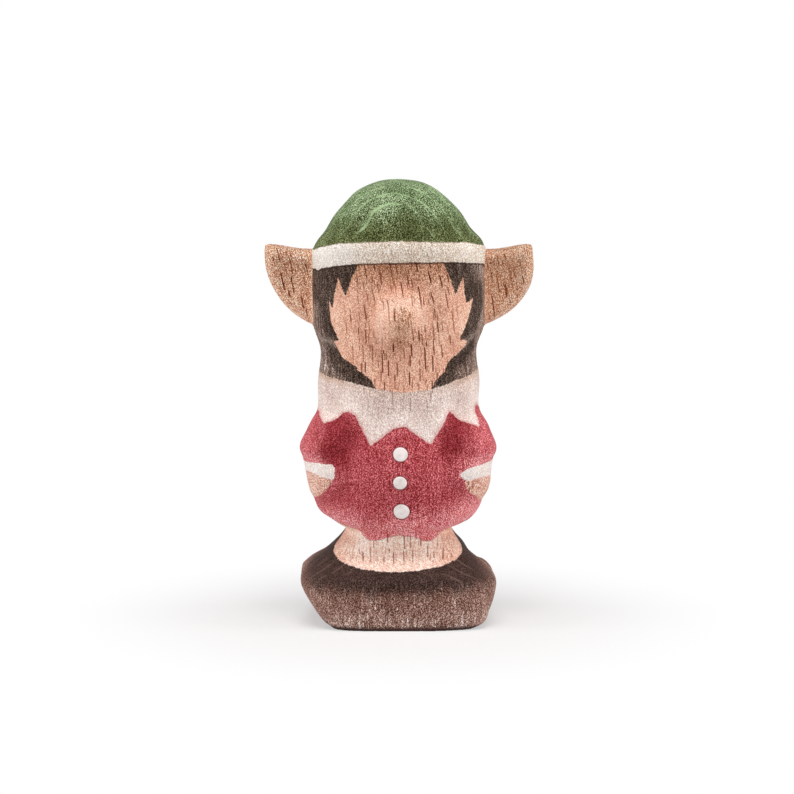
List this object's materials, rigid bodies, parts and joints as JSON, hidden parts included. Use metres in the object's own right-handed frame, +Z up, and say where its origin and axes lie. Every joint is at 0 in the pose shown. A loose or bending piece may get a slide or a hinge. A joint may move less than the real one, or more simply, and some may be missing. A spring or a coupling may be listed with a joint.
{
  "type": "elf figurine",
  "caption": "Small carved wooden elf figurine with cupped ears, a round nose and a domed banded hat, made in one piece to stand on its flat sole.",
  "frame": {"origin": "centre of the flat sole, under the middle of the bounding box", "axes": "+Z up from the sole to the crown of the hat, -Y the way the face looks, +X to the figure's own left ear"},
  "size_m": [0.0454, 0.027, 0.075],
  "materials": {
    "painted_wood": "bare beech face, ears, hands and legs, with matt stain in green, red, brown and off-white elsewhere"
  },
  "bodies": {
    "root": {"elf_figurine": "painted_wood"}
  },
  "joints": []
}
